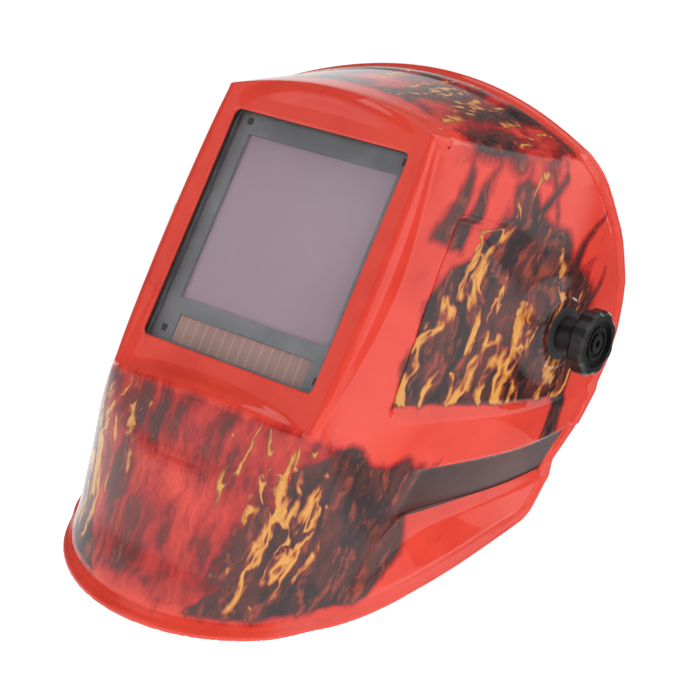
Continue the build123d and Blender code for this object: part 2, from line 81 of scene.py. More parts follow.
def smooth_max(a, b, k):
    """Larger of two fields, blended over a width k."""
    h = np.maximum(k - np.abs(a - b), 0) / k
    return np.maximum(a, b) + h * h * k * 0.25


def smooth_min(a, b, k):
    """Smaller of two fields, blended over a width k."""
    return -smooth_max(-a, -b, k)


def ease(t):
    """0 to 1 with a slow start and a slow end."""
    t = np.clip(t, 0, 1)
    return t * t * (3 - 2 * t)


def ramp(t, soft=0.12):
    """0 to 1 with softly rounded corners."""
    t = smooth_max(t, np.zeros_like(t), soft * 2)
    return smooth_min(t, np.ones_like(t), soft * 2)


def net_surface(field, low, high, step):
    """Surface net of a field's zero level, pulled onto it. Returns points, quads and normals.

    The field is sampled on one side of X = 0 only, and copied to the other.
    """
    axes, values = sampled(field, low, high, step)
    inside = values < 0
    shape = np.array(values.shape) - 1
    corner_sum = np.zeros(shape, np.int8)
    for dx in (0, 1):
        for dy in (0, 1):
            for dz in (0, 1):
                corner_sum += inside[dx:dx + shape[0], dy:dy + shape[1], dz:dz + shape[2]]
    cells = np.argwhere((corner_sum > 0) & (corner_sum < 8))
    number = np.full(shape, -1, np.int64)
    number[tuple(cells.T)] = np.arange(len(cells))
    points = np.array([a[0] for a in axes]) + crossing_middles(values, cells) * step
    quads = np.concatenate([crossed_edge_quads(inside, number, axis) for axis in range(3)])
    for smoothing in RELAXING:
        points = relaxed(points, quads, smoothing)
        for _ in range(2):
            points = points - pull(field, points)
    return points, quads, slope(field, points, 0.12 * step)


def sampled(field, low, high, step):
    """Grid axes and the field's values on them, exact only where the surface is near."""
    axes = [np.arange(a, b + step, step) for a, b in zip(low, high)]
    axes[0] = np.arange(step / 2, high[0] + step, step)
    values = np.empty([len(a) for a in axes], np.float32)
    yy, zz = np.meshgrid(axes[1], axes[2], indexing="ij")
    for i, x in enumerate(axes[0]):
        layer = field(np.full_like(yy, x), yy, zz, rough=True)
        near = np.abs(layer) < EXACT_WITHIN
        layer[near] = field(np.full(near.sum(), x), yy[near], zz[near])
        values[i] = layer
    axes[0] = np.concatenate([-axes[0][::-1], axes[0]])
    return axes, np.concatenate([values[::-1], values])


def crossing_middles(values, cells):
    """Middle of each cell's edge crossings, in grid steps."""
    total = np.zeros((len(cells), 3))
    count = np.zeros(len(cells))
    for axis in range(3):
        others = [a for a in range(3) if a != axis]
        for u in (0, 1):
            for v in (0, 1):
                start = cells.copy()
                start[:, others[0]] += u
                start[:, others[1]] += v
                end = start.copy()
                end[:, axis] += 1
                a = values[tuple(start.T)].astype(float)
                b = values[tuple(end.T)].astype(float)
                crossing = (a < 0) != (b < 0)
                t = np.where(crossing, a / np.where(crossing, a - b, 1), 0)
                point = start.astype(float)
                point[:, axis] += t
                total += point * crossing[:, None]
                count += crossing
    return total / count[:, None]


def crossed_edge_quads(inside, number, axis):
    """One quad, facing outwards, around each grid edge of one axis that crosses the surface."""
    u, v = [(1, 2), (2, 0), (0, 1)][axis]
    near = [slice(None)] * 3
    far = [slice(None)] * 3
    near[axis] = slice(0, -1)
    far[axis] = slice(1, None)
    edges = np.argwhere(inside[tuple(near)] != inside[tuple(far)])
    edges = edges[(edges[:, u] > 0) & (edges[:, v] > 0)]
    edges = edges[(edges[:, u] < number.shape[u]) & (edges[:, v] < number.shape[v])]
    corners = []
    for du, dv in ((1, 1), (0, 1), (0, 0), (1, 0)):
        cell = edges.copy()
        cell[:, u] -= du
        cell[:, v] -= dv
        corners.append(number[tuple(cell.T)])
    quads = np.stack(corners, 1)
    outward = inside[tuple(edges.T)]
    quads[~outward] = quads[~outward][:, ::-1]
    return quads


def relaxed(points, quads, amount):
    """Each point moved towards the middle of its neighbours."""
    total = np.zeros_like(points)
    count = np.zeros(len(points))
    for a in range(4):
        b = (a + 1) % 4
        np.add.at(total, quads[:, a], points[quads[:, b]])
        np.add.at(total, quads[:, b], points[quads[:, a]])
        np.add.at(count, quads[:, a], 1)
        np.add.at(count, quads[:, b], 1)
    return points * (1 - amount) + total / count[:, None] * amount


def slope(field, points, gap):
    """Unit gradient of a field at points."""
    result = np.empty_like(points)
    for axis in range(3):
        move = np.zeros(3)
        move[axis] = gap
        result[:, axis] = field(*(points + move).T) - field(*(points - move).T)
    return result / (np.linalg.norm(result, axis=1, keepdims=True) + 1e-12)


def pull(field, points):
    """Step that brings points onto the zero level, at most half a millimetre long."""
    value = field(*points.T)
    gap = 0.05
    gradient = np.empty_like(points)
    for axis in range(3):
        move = np.zeros(3)
        move[axis] = gap
        gradient[:, axis] = (field(*(points + move).T) - value) / gap
    square = np.maximum((gradient ** 2).sum(1), 0.25)
    return gradient * (np.clip(value, -0.5, 0.5) / square)[:, None]


def mesh_object(name, points, faces, normals):
    """Mesh from points in metres, with its own smooth normals."""
    mesh = bpy.data.meshes.new(name)
    mesh.vertices.add(len(points))
    mesh.vertices.foreach_set("co", np.asarray(points, np.float32).ravel())
    corners = faces.shape[1]
    mesh.loops.add(faces.size)
    mesh.loops.foreach_set("vertex_index", faces.astype(np.int32).ravel())
    mesh.polygons.add(len(faces))
    mesh.polygons.foreach_set("loop_start", np.arange(0, faces.size, corners, dtype=np.int32))
    mesh.update(calc_edges=True)
    mesh.polygons.foreach_set("use_smooth", np.ones(len(faces), bool))
    mesh.normals_split_custom_set_from_vertices(normals.astype(np.float32))
    obj = bpy.data.objects.new(name, mesh)
    bpy.context.scene.collection.objects.link(obj)
    return obj


# ---------------------------------------------------------------- helmet shell, lens frame, mm

# Horizontal sections of the walls: height, half width, reach of the side ellipse, depth of its
# centre, depth of the nose, bow of the front.
SECTIONS = np.array([
    (-230, 110.0, 110, 110.5, -16.0, 0.0019),
    (-180, 110.0, 110, 111.0, -16.0, 0.0019),
    (-157, 110.0, 111, 112.0, -14.0, 0.0019),
    (-135, 110.5, 134, 122.0, -6.0, 0.0019),
    (-115, 111.5, 160, 135.0, -4.0, 0.0019),
    (-98, 112.0, 178, 145.0, -6.5, 0.0019),
    (-82, 112.5, 186, 150.0, -8.5, 0.0019),
    (-40, 117.0, 177, 150.0, -7.5, 0.0019),
    (0, 119.5, 172, 150.0, -7.0, 0.0018),
    (40, 119.5, 174, 150.0, -6.0, 0.0018),
    (75, 117.5, 178, 150.0, -5.0, 0.0017),
    (110, 115.0, 178, 150.0, -5.0, 0.0017),
    (160, 112.0, 178, 150.0, -5.0, 0.0017)])
# Middle of the rolled edge, seen from the side: height, depth.
RIM = np.array([
    (-260, -62), (-199, -1.5), (-180, 24.4), (-156, 52.6), (-132, 78.6), (-108, 107.4),
    (-84, 136.5), (-77, 144.5), (-71, 147.3), (-40, 147.8), (-20, 152.5), (0, 155), (20, 156.5),
    (36, 153.5), (50, 148), (60, 142.5), (80, 121), (92, 104.5), (100, 93), (105, 86.5),
    (110, 84.3), (118, 84), (220, 85.6)])
# Roof: rise towards the back, bow across, and a point on the brow.
ROOF_RISE, ROOF_BOW = 0.537, 0.0025
BROW_Y, BROW_Z = -5.0, 83.5
WALL = 2.8
# Rolled edge, and the raised band and the groove beside it.
BEAD_R = 2.2
BAND_HEIGHT, BAND_WIDTH = 0.8, 17.0
GROOVE_DEPTH, GROOVE_PLACE, GROOVE_WIDTH = 0.9, 4.8, 1.8
# Window, knob bosses and their bores, screw bosses, and the lugs for the stop arms.
WINDOW_X, WINDOW_Z, WINDOW_CORNER, WINDOW_DEPTH = 56.0, 63.5, 3.0, 20.0
BOSS_X, BOSS_INNER_X, BOSS_R, BORE_R = 117.5, 107.5, 18.0, 4.1
SCREW_X, SCREW_Z, SCREW_BOSS_R, SCREW_BOSS_Y = 45.0, 74.0, 4.5, (2.0, 5.7)
LUG_X, LUG_Y, LUG_Z = (94.0, 106.0), (68.0, 76.0), (20.1, 25.0)
# Bulge of each side between two depths, and the flat round each knob.
SWELL, SWELL_Y = 3.7, (35.0, 155.0)
FLAT_R, FLAT_BLEND = 30.0, 16.0
# Width of the blend between front and sides: height, width.
FRONT_BLEND = np.array([(-150, 30), (-125, 24), (-105, 12), (-82, 8)])
# Edges of the pocket that the visor stands in: height at its sides, rise to the middle, slope.
# Its sides are VISOR_X from the middle.
VISOR_X = 66.0
LEDGE_Z, LEDGE_RISE, LEDGE_SLOPE = -82.5, 9.5, 0.94
POCKET_Z, POCKET_RISE, POCKET_SLOPE = 69.5, 5.5, 1.7
# Two-facet bevels beside the visor plate: each place at the ends, and what is added at mid height.
VISOR_MID_Z, VISOR_REACH, VISOR_FOOT = -4.0, 77.6, -83.0
PLATE_X = (65.5, 2.0)
FACET_X, FACET_Y = (66.1, 5.6), (0.6, 3.6)
EDGE_X, EDGE_Y = (66.4, 6.1), (1.0, 14.6)
# Edges of the terraces pressed into each side: depth and height of a point on each, and its slope.
UPPER_Y, UPPER_Z, UPPER_SLOPE = 40.0, -56.0, 0.5
LOWER_Y, LOWER_Z, LOWER_SLOPE = 61.0, -107.0, 0.65
LIP_Y, LIP_Z, LIP_SLOPE = 62.0, -72.0, 0.59
NOSE_EDGE_Y, NOSE_EDGE_Z, NOSE_EDGE_RUN = 58.0, -114.5, (10.0, 40.5)
# Grid of the painted shell.
SHELL_LOW, SHELL_HIGH = (0, -16, -208), (126, 168, 142)
STEP, QUICK_STEP = 1.35, 1.6
HEIGHTS = np.linspace(-260.0, 220.0, 961)


def smoothed(table, column, width):
    """A table's column at every height, with its corners rounded over a width in samples."""
    raw = np.interp(HEIGHTS, table[:, 0], table[:, column])
    weights = np.hanning(2 * width + 1)
    weights = weights / weights.sum()
    return np.convolve(np.pad(raw, width, mode="edge"), weights, mode="valid")


PROFILE = [smoothed(SECTIONS, column, 24) for column in range(1, 6)]
RIM_DEPTH = smoothed(RIM, 1, 8)


def above_line(y, z, line_y, line_z, line_slope):
    """Distance above a sloping line seen from the side."""
    return (z - line_z - line_slope * (y - line_y)) / math.hypot(1, line_slope)


def above_bevel(y, z):
    """Distance above the lower edge of the upper recess's bevel, and the bevel's width."""
    return above_line(y, z, UPPER_Y, UPPER_Z, UPPER_SLOPE), np.interp(y, [35, 130], [6.5, 3.4])


def side_relief(y, z):
    """Depth of the two terraces pressed into each side."""
    rise, width = above_bevel(y, z)
    low = ramp(rise / width)
    front = ramp((y - 24.0 - 0.045 * (38 - z)) / 4.0)
    top = ramp((47.0 + 0.22 * (y - 28) - z) / (4.0 + 0.9 * np.maximum(y - 38, 0)))
    upper = (4.9 - 0.026 * (y - 30)) * low * front * top
    rail = above_line(y, z, LOWER_Y, LOWER_Z, LOWER_SLOPE)
    run_y, run_z = NOSE_EDGE_RUN
    nose_edge = ((z - NOSE_EDGE_Z) * run_y - (y - NOSE_EDGE_Y) * run_z) / math.hypot(run_y, run_z)
    low = ramp(smooth_max(rail, nose_edge, 14.0) / 6.0)
    below = -above_line(y, z, LIP_Y, LIP_Z, LIP_SLOPE)
    lip = 0.3 * ramp(below / 1.2) * ease((y - 48) / 14) + 0.7 * ramp(below / 20.0, 0.05)
    depth = (4.4 - 0.022 * np.maximum(y - 60, 0)) * ease((y - 26) / 34)
    return upper + depth * low * lip


def shell_body(x, y, z):
    """Distance outside the shell's outer surface, before the window."""
    x = np.abs(x)
    half, reach, centre, nose, bow = [np.interp(z, HEIGHTS, column) for column in PROFILE]
    u = np.maximum(centre - y, 0)
    ellipse = (x / half) ** 2 + (u / reach) ** 2 - 1
    side = ellipse / (2 * np.sqrt((x / half ** 2) ** 2 + (u / reach ** 2) ** 2) + 1e-9)
    swell = np.clip((y - SWELL_Y[0]) / (SWELL_Y[1] - SWELL_Y[0]), 0, 1)
    swell = SWELL * np.sin(np.pi * swell) ** 2 * ease((z + 95) / 60) * ease((110 - z) / 60)
    side = side - swell + side_relief(y, z)
    flat = ease((FLAT_R - np.hypot(y - PIVOT_Y, z - PIVOT_Z)) / FLAT_BLEND)
    side = side * (1 - flat) + (x - BOSS_X) * flat
    front = (nose + bow * x * x - y) / np.sqrt(1 + (2 * bow * x) ** 2)
    outside = smooth_max(side, front, np.interp(z, *FRONT_BLEND.T))
    roof = z - (BROW_Z + ROOF_RISE * (y - BROW_Y) - ROOF_BOW * x * x)
    roof = roof / np.sqrt(1 + ROOF_RISE ** 2 + (2 * ROOF_BOW * x) ** 2)
    outside = smooth_max(outside, roof, 9.0)
    # space in front of the visor plate
    arch = 1 - (x / VISOR_X) ** 2
    ledge = -above_line(y, z, 0, LEDGE_Z + LEDGE_RISE * arch, LEDGE_SLOPE)
    brow = above_line(y, z, 0, POCKET_Z + POCKET_RISE * arch, -POCKET_SLOPE)
    pocket = smooth_max(smooth_max(y, ledge, 2.5), brow, 4.0)
    outside = smooth_max(outside, -pocket, 3.0)
    # visor plate with two-facet side bevels that are widest at mid height
    s = np.clip(1 - ((z - VISOR_MID_Z) / VISOR_REACH) ** 2, 0, 1)
    plate, mid_x, mid_y, edge_x, edge_y = [
        end + more * s for end, more in (PLATE_X, FACET_X, FACET_Y, EDGE_X, EDGE_Y)]
    outer_bevel = (x - mid_x) * (edge_y - mid_y) - (y - mid_y) * (edge_x - mid_x)
    outer_bevel = outer_bevel / (np.hypot(edge_x - mid_x, edge_y - mid_y) + 1e-6)
    inner_bevel = ((x - plate) * mid_y - y * (mid_x - plate)) / np.hypot(mid_x - plate, mid_y)
    visor = smooth_max(smooth_max(inner_bevel, outer_bevel, 0.8), -y, 1.6)
    visor = np.maximum(np.maximum(visor, y - edge_y - 8), VISOR_FOOT - z)
    visor = np.maximum(visor, roof)
    return smooth_min(outside, visor, 1.0)


def rim_distance(y, z):
    """Distance behind the middle of the rolled edge."""
    above, under = [np.interp(z + d, HEIGHTS, RIM_DEPTH) for d in (0.5, -0.5)]
    return (y - np.interp(z, HEIGHTS, RIM_DEPTH)) / np.sqrt(1 + (above - under) ** 2)


def shell_distance(x, y, z):
    """Outer surface as an even distance, so that the wall keeps its thickness."""
    value = shell_body(x, y, z)
    gap = 0.3
    steepness = np.sqrt(
        ((shell_body(x + gap, y, z) - value) / gap) ** 2
        + ((shell_body(x, y + gap, z) - value) / gap) ** 2
        + ((shell_body(x, y, z + gap) - value) / gap) ** 2)
    return value / np.clip(steepness, 0.7, 3.0)


def shell_field(x, y, z, rough=False):
    """The shell's wall with its rim, window, bosses, lugs and knob bores."""
    outer = shell_body(x, y, z) if rough else shell_distance(x, y, z)
    x = np.abs(x)
    rim = rim_distance(y, z)
    # raised band along the back of the roof, and the groove in front of the bead
    outer = outer - BAND_HEIGHT * ease((z - 84) / 26) * ramp((rim + BAND_WIDTH) / 4.0)
    outer = outer + GROOVE_DEPTH * np.exp(-((rim + GROOVE_PLACE) / GROOVE_WIDTH) ** 2)
    dx, dz = x - WINDOW_X + WINDOW_CORNER, np.abs(z) - WINDOW_Z + WINDOW_CORNER
    window = np.hypot(np.maximum(dx, 0), np.maximum(dz, 0)) + np.minimum(np.maximum(dx, dz), 0)
    window = np.maximum(window - WINDOW_CORNER, y - WINDOW_DEPTH)
    wall = np.maximum(np.maximum(smooth_max(outer, -window, 1.0), -(outer + WALL)), rim)
    bead = np.hypot(outer + 0.5 * WALL - 0.4, rim) - BEAD_R
    wall = smooth_min(wall, bead, 0.5)
    radius = np.hypot(y - PIVOT_Y, z - PIVOT_Z)
    boss = np.maximum(np.maximum(radius - BOSS_R, BOSS_INNER_X - x), x - BOSS_X)
    wall = smooth_min(wall, boss, 2.0)
    # bosses for the holder's screws, and the lug that lands on the stop arm
    screw_boss = np.hypot(x - SCREW_X, np.abs(z) - SCREW_Z) - SCREW_BOSS_R
    screw_boss = np.maximum(screw_boss, np.maximum(SCREW_BOSS_Y[0] - y, y - SCREW_BOSS_Y[1]))
    lug = np.maximum.reduce([LUG_X[0] - x, x - LUG_X[1], LUG_Y[0] - y, y - LUG_Y[1],
                             LUG_Z[0] - z, z - LUG_Z[1]])
    inner_parts = np.maximum(np.minimum(screw_boss, lug), outer + 0.5 * WALL)
    wall = np.minimum(wall, inner_parts)
    return np.where(x > 100, smooth_max(wall, BORE_R - radius, 0.6), wall)


# ---------------------------------------------------------------- node material helpers

def material(name):
    """A node material, its tree and its Principled shader."""
    made = bpy.data.materials.new(name)
    made.use_nodes = True
    tree = made.node_tree
    shader = tree.nodes["Principled BSDF"]
    return made, tree, shader


def node(tree, kind, inputs=(), **settings):
    """Adds a node; inputs are (socket, value or output) pairs."""
    made = tree.nodes.new(kind)
    for key, value in settings.items():
        setattr(made, key, value)
    for socket, value in inputs:
        target = made.inputs[socket]
        if isinstance(value, bpy.types.NodeSocket):
            tree.links.new(value, target)
        else:
            target.default_value = value
    return made


def coordinates(tree):
    """Places on the object, in metres."""
    return node(tree, "ShaderNodeTexCoord").outputs["Object"]


def stretched(tree, vector, scale):
    return node(tree, "ShaderNodeMapping", [("Vector", vector), ("Scale", scale)]).outputs[0]


def noise(tree, vector, scale, detail=4.0, roughness=0.55, distortion=0.0):
    made = node(tree, "ShaderNodeTexNoise", [
        ("Vector", vector), ("Scale", scale), ("Detail", detail), ("Roughness", roughness),
        ("Distortion", distortion)])
    return made.outputs["Fac"]


def span(tree, value, low, high, to_low=0.0, to_high=1.0):
    """Smooth step from one level to another while a value goes from low to high."""
    made = node(tree, "ShaderNodeMapRange", [
        ("Value", value), ("From Min", low), ("From Max", high), ("To Min", to_low),
        ("To Max", to_high)], interpolation_type="SMOOTHSTEP")
    return made.outputs[0]


def maths(tree, operation, a, b=0.0):
    made = node(tree, "ShaderNodeMath", [(0, a), (1, b)], operation=operation)
    return made.outputs[0]


def mixed(tree, factor, a, b):
    """Mix of two colours, each a tuple or an output."""
    made = tree.nodes.new("ShaderNodeMix")
    made.data_type = "RGBA"
    # sockets 6 and 7 of this node are its two colours
    for index, value in ((0, factor), (6, a), (7, b)):
        target = made.inputs[index]
        if isinstance(value, bpy.types.NodeSocket):
            tree.links.new(value, target)
        else:
            target.default_value = (*value, 1.0) if index else value
    return made.outputs[2]


def bump(tree, shader, height, strength, distance):
    made = node(tree, "ShaderNodeBump", [
        ("Height", height), ("Strength", strength), ("Distance", distance)])
    tree.links.new(made.outputs[0], shader.inputs["Normal"])


def attribute(tree, name):
    """A value stored on the mesh."""
    made = node(tree, "ShaderNodeAttribute", attribute_name=name)
    return made.outputs["Fac"]


# ---------------------------------------------------------------- shell paint

RED = (0.64, 0.050, 0.029)
CLOUDED_RED = (0.57, 0.036, 0.021)
CHERRY = (0.36, 0.014, 0.012)
DEEP_RED = (0.16, 0.007, 0.007)
MAROON = (0.085, 0.018, 0.015)
SOOT = (0.018, 0.008, 0.009)
EMBER = (0.26, 0.040, 0.022)
AMBER = (0.40, 0.135, 0.020)
YELLOW = (0.60, 0.28, 0.055)
BAND_DARK, BAND_PALE = (0.024, 0.004, 0.004), (0.055, 0.010, 0.008)
# Extra starts, in mm, of flames along the upper recess's lower edge.
LOW_TONGUES = (33, 37, 41, 72, 77, 98, 103, 107)
# Flames and shadows that reach above it: start, foot, height, half width, lean.
TALL_TONGUES = (
    (40, -10, 62, 1.6, 6), (47, 5, 84, 2.2, 8), (56, -12, 72, 1.5, 12), (88, 20, 42, 1.8, -8),
    (97, -4, 46, 1.7, 8), (104, 26, 34, 1.3, 6), (70, -34, 56, 1.4, -8), (80, -20, 44, 1.6, 6),
    (33, -30, 50, 1.5, 4))
SHADOW_TONGUES = (
    (20, 30, 60, 4.0, 4), (31, 30, 66, 5.0, 6), (58, 40, 60, 5.0, 12), (72, 36, 58, 4.0, -8),
    (92, 30, 56, 4.5, 10), (108, 10, 50, 4.0, 10))
# Width in mm over which a mask fades from 0 to 1.
MASK_FADE = 8.0


def signed_noise(tree, value, amount):
    """Noise moved to lie evenly about zero, and scaled."""
    return maths(tree, "MULTIPLY", maths(tree, "SUBTRACT", value, 0.5), amount)


def shell_paint():
    """Gloss lacquer over red, with airbrushed smoke and flames where the masks say."""
    made, tree, shader = material("shell_paint")
    place = coordinates(tree)
    warp = node(tree, "ShaderNodeTexNoise", [("Vector", place), ("Scale", 30.0), ("Detail", 3.0)])
    shift = node(tree, "ShaderNodeVectorMath", [(0, warp.outputs["Color"]), (1, (0.5, 0.5, 0.5))],
                 operation="SUBTRACT").outputs[0]
    shift = node(tree, "ShaderNodeVectorMath", [(0, shift), ("Scale", 0.022)],
                 operation="SCALE").outputs[0]
    bent = node(tree, "ShaderNodeVectorMath", [(0, place), (1, shift)], operation="ADD").outputs[0]
    strands = stretched(tree, bent, (1.0, 1.0, 0.26))
    wisps = noise(tree, strands, 95.0, 6.0, 0.6)
    hairs = noise(tree, strands, 230.0, 4.0, 0.55)
    clouds = noise(tree, place, 30.0, 4.0, 0.55)
    smoke, flame, band = [attribute(tree, n) for n in ("smoke_mask", "flame_mask", "band_mask")]
    ragged = maths(tree, "ADD", smoke, signed_noise(tree, wisps, 1.05))
    ragged = maths(tree, "ADD", ragged, signed_noise(tree, hairs, 0.35))
    base = mixed(tree, span(tree, clouds, 0.32, 0.72), RED, CLOUDED_RED)
    base = mixed(tree, span(tree, ragged, 0.10, 0.40), base, CHERRY)
    base = mixed(tree, span(tree, ragged, 0.34, 0.50), base, DEEP_RED)
    shade = mixed(tree, span(tree, wisps, 0.40, 0.62), SOOT, MAROON)
    shade = mixed(tree, span(tree, hairs, 0.50, 0.72), shade, EMBER)
    colour = mixed(tree, span(tree, ragged, 0.47, 0.56), base, shade)
    curls = noise(tree, strands, 88.0, 3.0, 0.5, 0.35)
    fold = maths(tree, "ABSOLUTE", maths(tree, "SUBTRACT", curls, 0.5))
    ridge = maths(tree, "SUBTRACT", 0.36, maths(tree, "MULTIPLY", fold, 8.5))
    lick = maths(tree, "ADD", flame, maths(tree, "MULTIPLY", ridge, 0.85))
    lick = maths(tree, "ADD", lick, signed_noise(tree, hairs, 0.40))
    lick = maths(tree, "MINIMUM", lick, maths(tree, "MULTIPLY", flame, 2.2))
    fire = mixed(tree, span(tree, lick, 0.52, 0.80), AMBER, YELLOW)
    colour = mixed(tree, span(tree, lick, 0.30, 0.47), colour, EMBER)
    colour = mixed(tree, span(tree, lick, 0.46, 0.56), colour, fire)
    banding = mixed(tree, span(tree, clouds, 0.3, 0.7), BAND_DARK, BAND_PALE)
    colour = mixed(tree, span(tree, band, 0.45, 0.55), colour, banding)
    tree.links.new(colour, shader.inputs["Base Color"])
    shader.inputs["Roughness"].default_value = 0.5
    shader.inputs["Specular IOR Level"].default_value = 0.05
    shader.inputs["Coat Weight"].default_value = 0.8
    shader.inputs["Coat Roughness"].default_value = 0.03
    shader.inputs["Coat IOR"].default_value = 1.5
    ripple = noise(tree, place, 420.0, 2.0)
    bump(tree, shader, ripple, 0.02, 0.0002)
    return made


def tongues(across, along, spots, curl=2.5):
    """Millimetres inside the nearest flame tongue.

    Each spot is where a tongue starts across and along, its height, half width and lean.
    """
    best = np.full(across.shape, -6.0)
    for i, (start, foot, height, width, lean) in enumerate(spots):
        t = np.clip((along - foot) / height, -0.2, 1.2)
        middle = start + lean * t * t + curl * t * np.sin(5.2 * t + 2.1 * i)
        half = width * np.clip(1 - t, 0, 1) ** 0.75 - 6.0 * (t > 1)
        best = np.maximum(best, np.minimum(half - np.abs(across - middle), (along - foot) * 0.8 + 1))
    return best


def wave(a, b, seed):
    """Smooth uneven pattern from about -1 to 1."""
    total = 0
    for i, (p, q) in enumerate(((0.11, 0.05), (-0.07, 0.13), (0.19, -0.10), (0.04, 0.23))):
        total = total + np.sin(p * a + q * b + seed * (1.3 + i) + i * i)
    return total / 3


def flank_art(x, y, z, dice):
    """Smoke and flames of the flank.

    Dark haze with a ragged top fills the upper recess, flames rise from the recess's lower edge,
    and taller strands of flame and shadow reach above it.
    """
    flank = (x - 56 - 0.1 * y) * 0.6
    rise, bevel = above_bevel(y, z)
    floor = (rise - bevel) * 2
    top = 58 + 16 * wave(y, z * 0.3, 1.0) - 0.2 * np.maximum(y - 80, 0)
    front = y - 28 - 0.30 * np.maximum(z, 0) - 4 * wave(y, z, 2.0)
    back = 122 - y - 0.30 * np.maximum(z, 0) + 8 * wave(y * 0.5, z, 3.0)
    haze = np.minimum.reduce([floor, (top - z) * 0.5, front * 0.9, back * 0.5, flank])
    low_spots = []
    for start in np.concatenate([np.arange(30, 128, 6.8), LOW_TONGUES]):
        tall_one = dice.uniform() ** 2
        start = start + dice.uniform(-3, 3)
        low_spots.append((start, -54.0 + 0.46 * (start - 36), 14 + 48 * tall_one,
                          dice.uniform(1.0, 2.2) + 1.2 * tall_one, dice.uniform(-12, 12)))
    low = np.minimum.reduce([tongues(y, z, low_spots), flank, (y - 26.5) * 0.8, floor])
    tall = np.minimum(tongues(y, z, TALL_TONGUES, 4.0), flank)
    shadow = np.minimum(tongues(y, z, SHADOW_TONGUES, 5.0), flank) - 1.2
    # strip of smoke across the rear of the bevel
    strip = np.minimum.reduce([6.5 - np.abs(y - 124 + 0.25 * (z + 20)), z + 50, 10 - z, flank])
    return np.maximum.reduce([haze, shadow, strip]), np.maximum(low, tall - 0.4)


def chin_art(x, y, z, side, dice):
    """Smoke and flames below the visor: a dark zone on each cheek, softer patches in front."""
    turn = np.degrees(np.arctan2(x, 70 - y))
    front = (turn - 44) * 1.6 - 3 * wave(z, y, 4.0)
    back = 61 - y - 0.24 * np.maximum(-118 - z, 0)
    top = (-84 - z + 0.55 * (y - 30)) + 12 * wave(y * 1.3, z * 0.2, 5.0)
    foot = np.minimum.reduce([(turn - 30 - 0.6 * (z + 178)) * 1.4, back, (-138 - z) * 0.7])
    cheek = np.maximum(np.minimum.reduce([front, back, top * 0.6]), foot)
    chin = 1.2 * wave(turn * side, z * 0.6, 6.0) - 0.6
    chin = np.minimum.reduce([chin, (-88 - z) * 0.5, (z + 176) * 0.25, (50 - turn) * 0.4])
    spots = [(dice.uniform(62, 122), dice.uniform(-176, -126), dice.uniform(30, 66),
              dice.uniform(1.0, 2.3), dice.uniform(-8, 16)) for _ in range(17)]
    spots += [(dice.uniform(44, 76), dice.uniform(-140, -110), dice.uniform(24, 44),
               dice.uniform(1.0, 2.0), dice.uniform(-6, 16)) for _ in range(5)]
    ceiling = np.interp(turn, [40, 60], [-88, -56]) - z
    flames = np.minimum(tongues(turn * 2.0, z, spots, 5.0), np.minimum(ceiling, back + 4))
    return np.maximum(cheek, chin), flames


def roof_art(x, y, z, side, dice):
    """Smoke and flames on the roof, in patches that stream rearwards."""
    roof_z = BROW_Z + ROOF_RISE * (y - BROW_Y) - ROOF_BOW * x * x
    above = np.minimum(z - roof_z + 5, 96 - x) * 0.4
    patches = 2.6 * wave(x * side * 1.1, y * 0.6, 8.0) + 0.1
    patches = np.minimum.reduce([patches, (y - 20) * 0.5, (82 - y) * 0.5, above])
    spots = [(dice.uniform(-92, 92), dice.uniform(14, 54), dice.uniform(24, 46),
              dice.uniform(1.0, 2.2), dice.uniform(-12, 12)) for _ in range(16)]
    return patches, np.minimum(tongues(x * side, y, spots, 5.0), above)


def band_art(y, z):
    """Plain dark band along the lower terrace."""
    over_rail = above_line(y, z, LOWER_Y, LOWER_Z, LOWER_SLOPE)
    under_lip = -above_line(y, z, LIP_Y, LIP_Z, LIP_SLOPE)
    return 2 * np.minimum.reduce([over_rail - 5.6, under_lip - 0.4, y - 57])


def art_masks(points):
    """Smoke, flame and band masks at each point of the shell, 0.5 at each edge."""
    x, y, z = points.T
    side, x = np.sign(x), np.abs(x)
    dice = np.random.default_rng(7)
    regions = [flank_art(x, y, z, dice), chin_art(x, y, z, side, dice), roof_art(x, y, z, side, dice)]
    smoke, flame = [np.maximum.reduce(layers) for layers in zip(*regions)]
    edge = -rim_distance(y, z) - 7.0
    outside = ease((shell_body(*points.T) + 1.6) / 0.8)
    masks = {}
    for name, inside in (("smoke_mask", smoke), ("flame_mask", flame), ("band_mask", band_art(y, z))):
        masks[name] = np.clip(0.5 + np.minimum(inside, edge) / MASK_FADE, 0, 1) * outside
    return masks


def make_shell():
    """The painted shell, with the inside faces in a second, unpainted material."""
    step = STEP
    points, quads, normals = net_surface(shell_field, SHELL_LOW, SHELL_HIGH, step)
    placed = (points + np.array([0, LENS_Y, LENS_Z])) * MM
    shell = mesh_object("helmet_shell_painted", placed, quads, normals)
    for name, values in art_masks(points).items():
        layer = shell.data.attributes.new(name, "FLOAT", "POINT")
        layer.data.foreach_set("value", values.astype(np.float32))
    inner = shell_distance(*points.T) < -0.35 * WALL
    inner &= rim_distance(points[:, 1], points[:, 2]) < -3.2
    inner &= (np.abs(points[:, 0]) > WINDOW_X + 2) | (np.abs(points[:, 2]) > WINDOW_Z + 2)
    shell.data.materials.append(shell_paint())
    shell.data.materials.append(moulded("shell_inner_nylon", (0.028, 0.027, 0.028), 0.55, 900, 0.25))
    shell.data.polygons.foreach_set("material_index", inner[quads].all(1).astype(np.int32))
    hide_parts("helmet_shell")
    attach(shell, "shell")


# ---------------------------------------------------------------- materials of the other parts

SOLAR_CELLS = 14


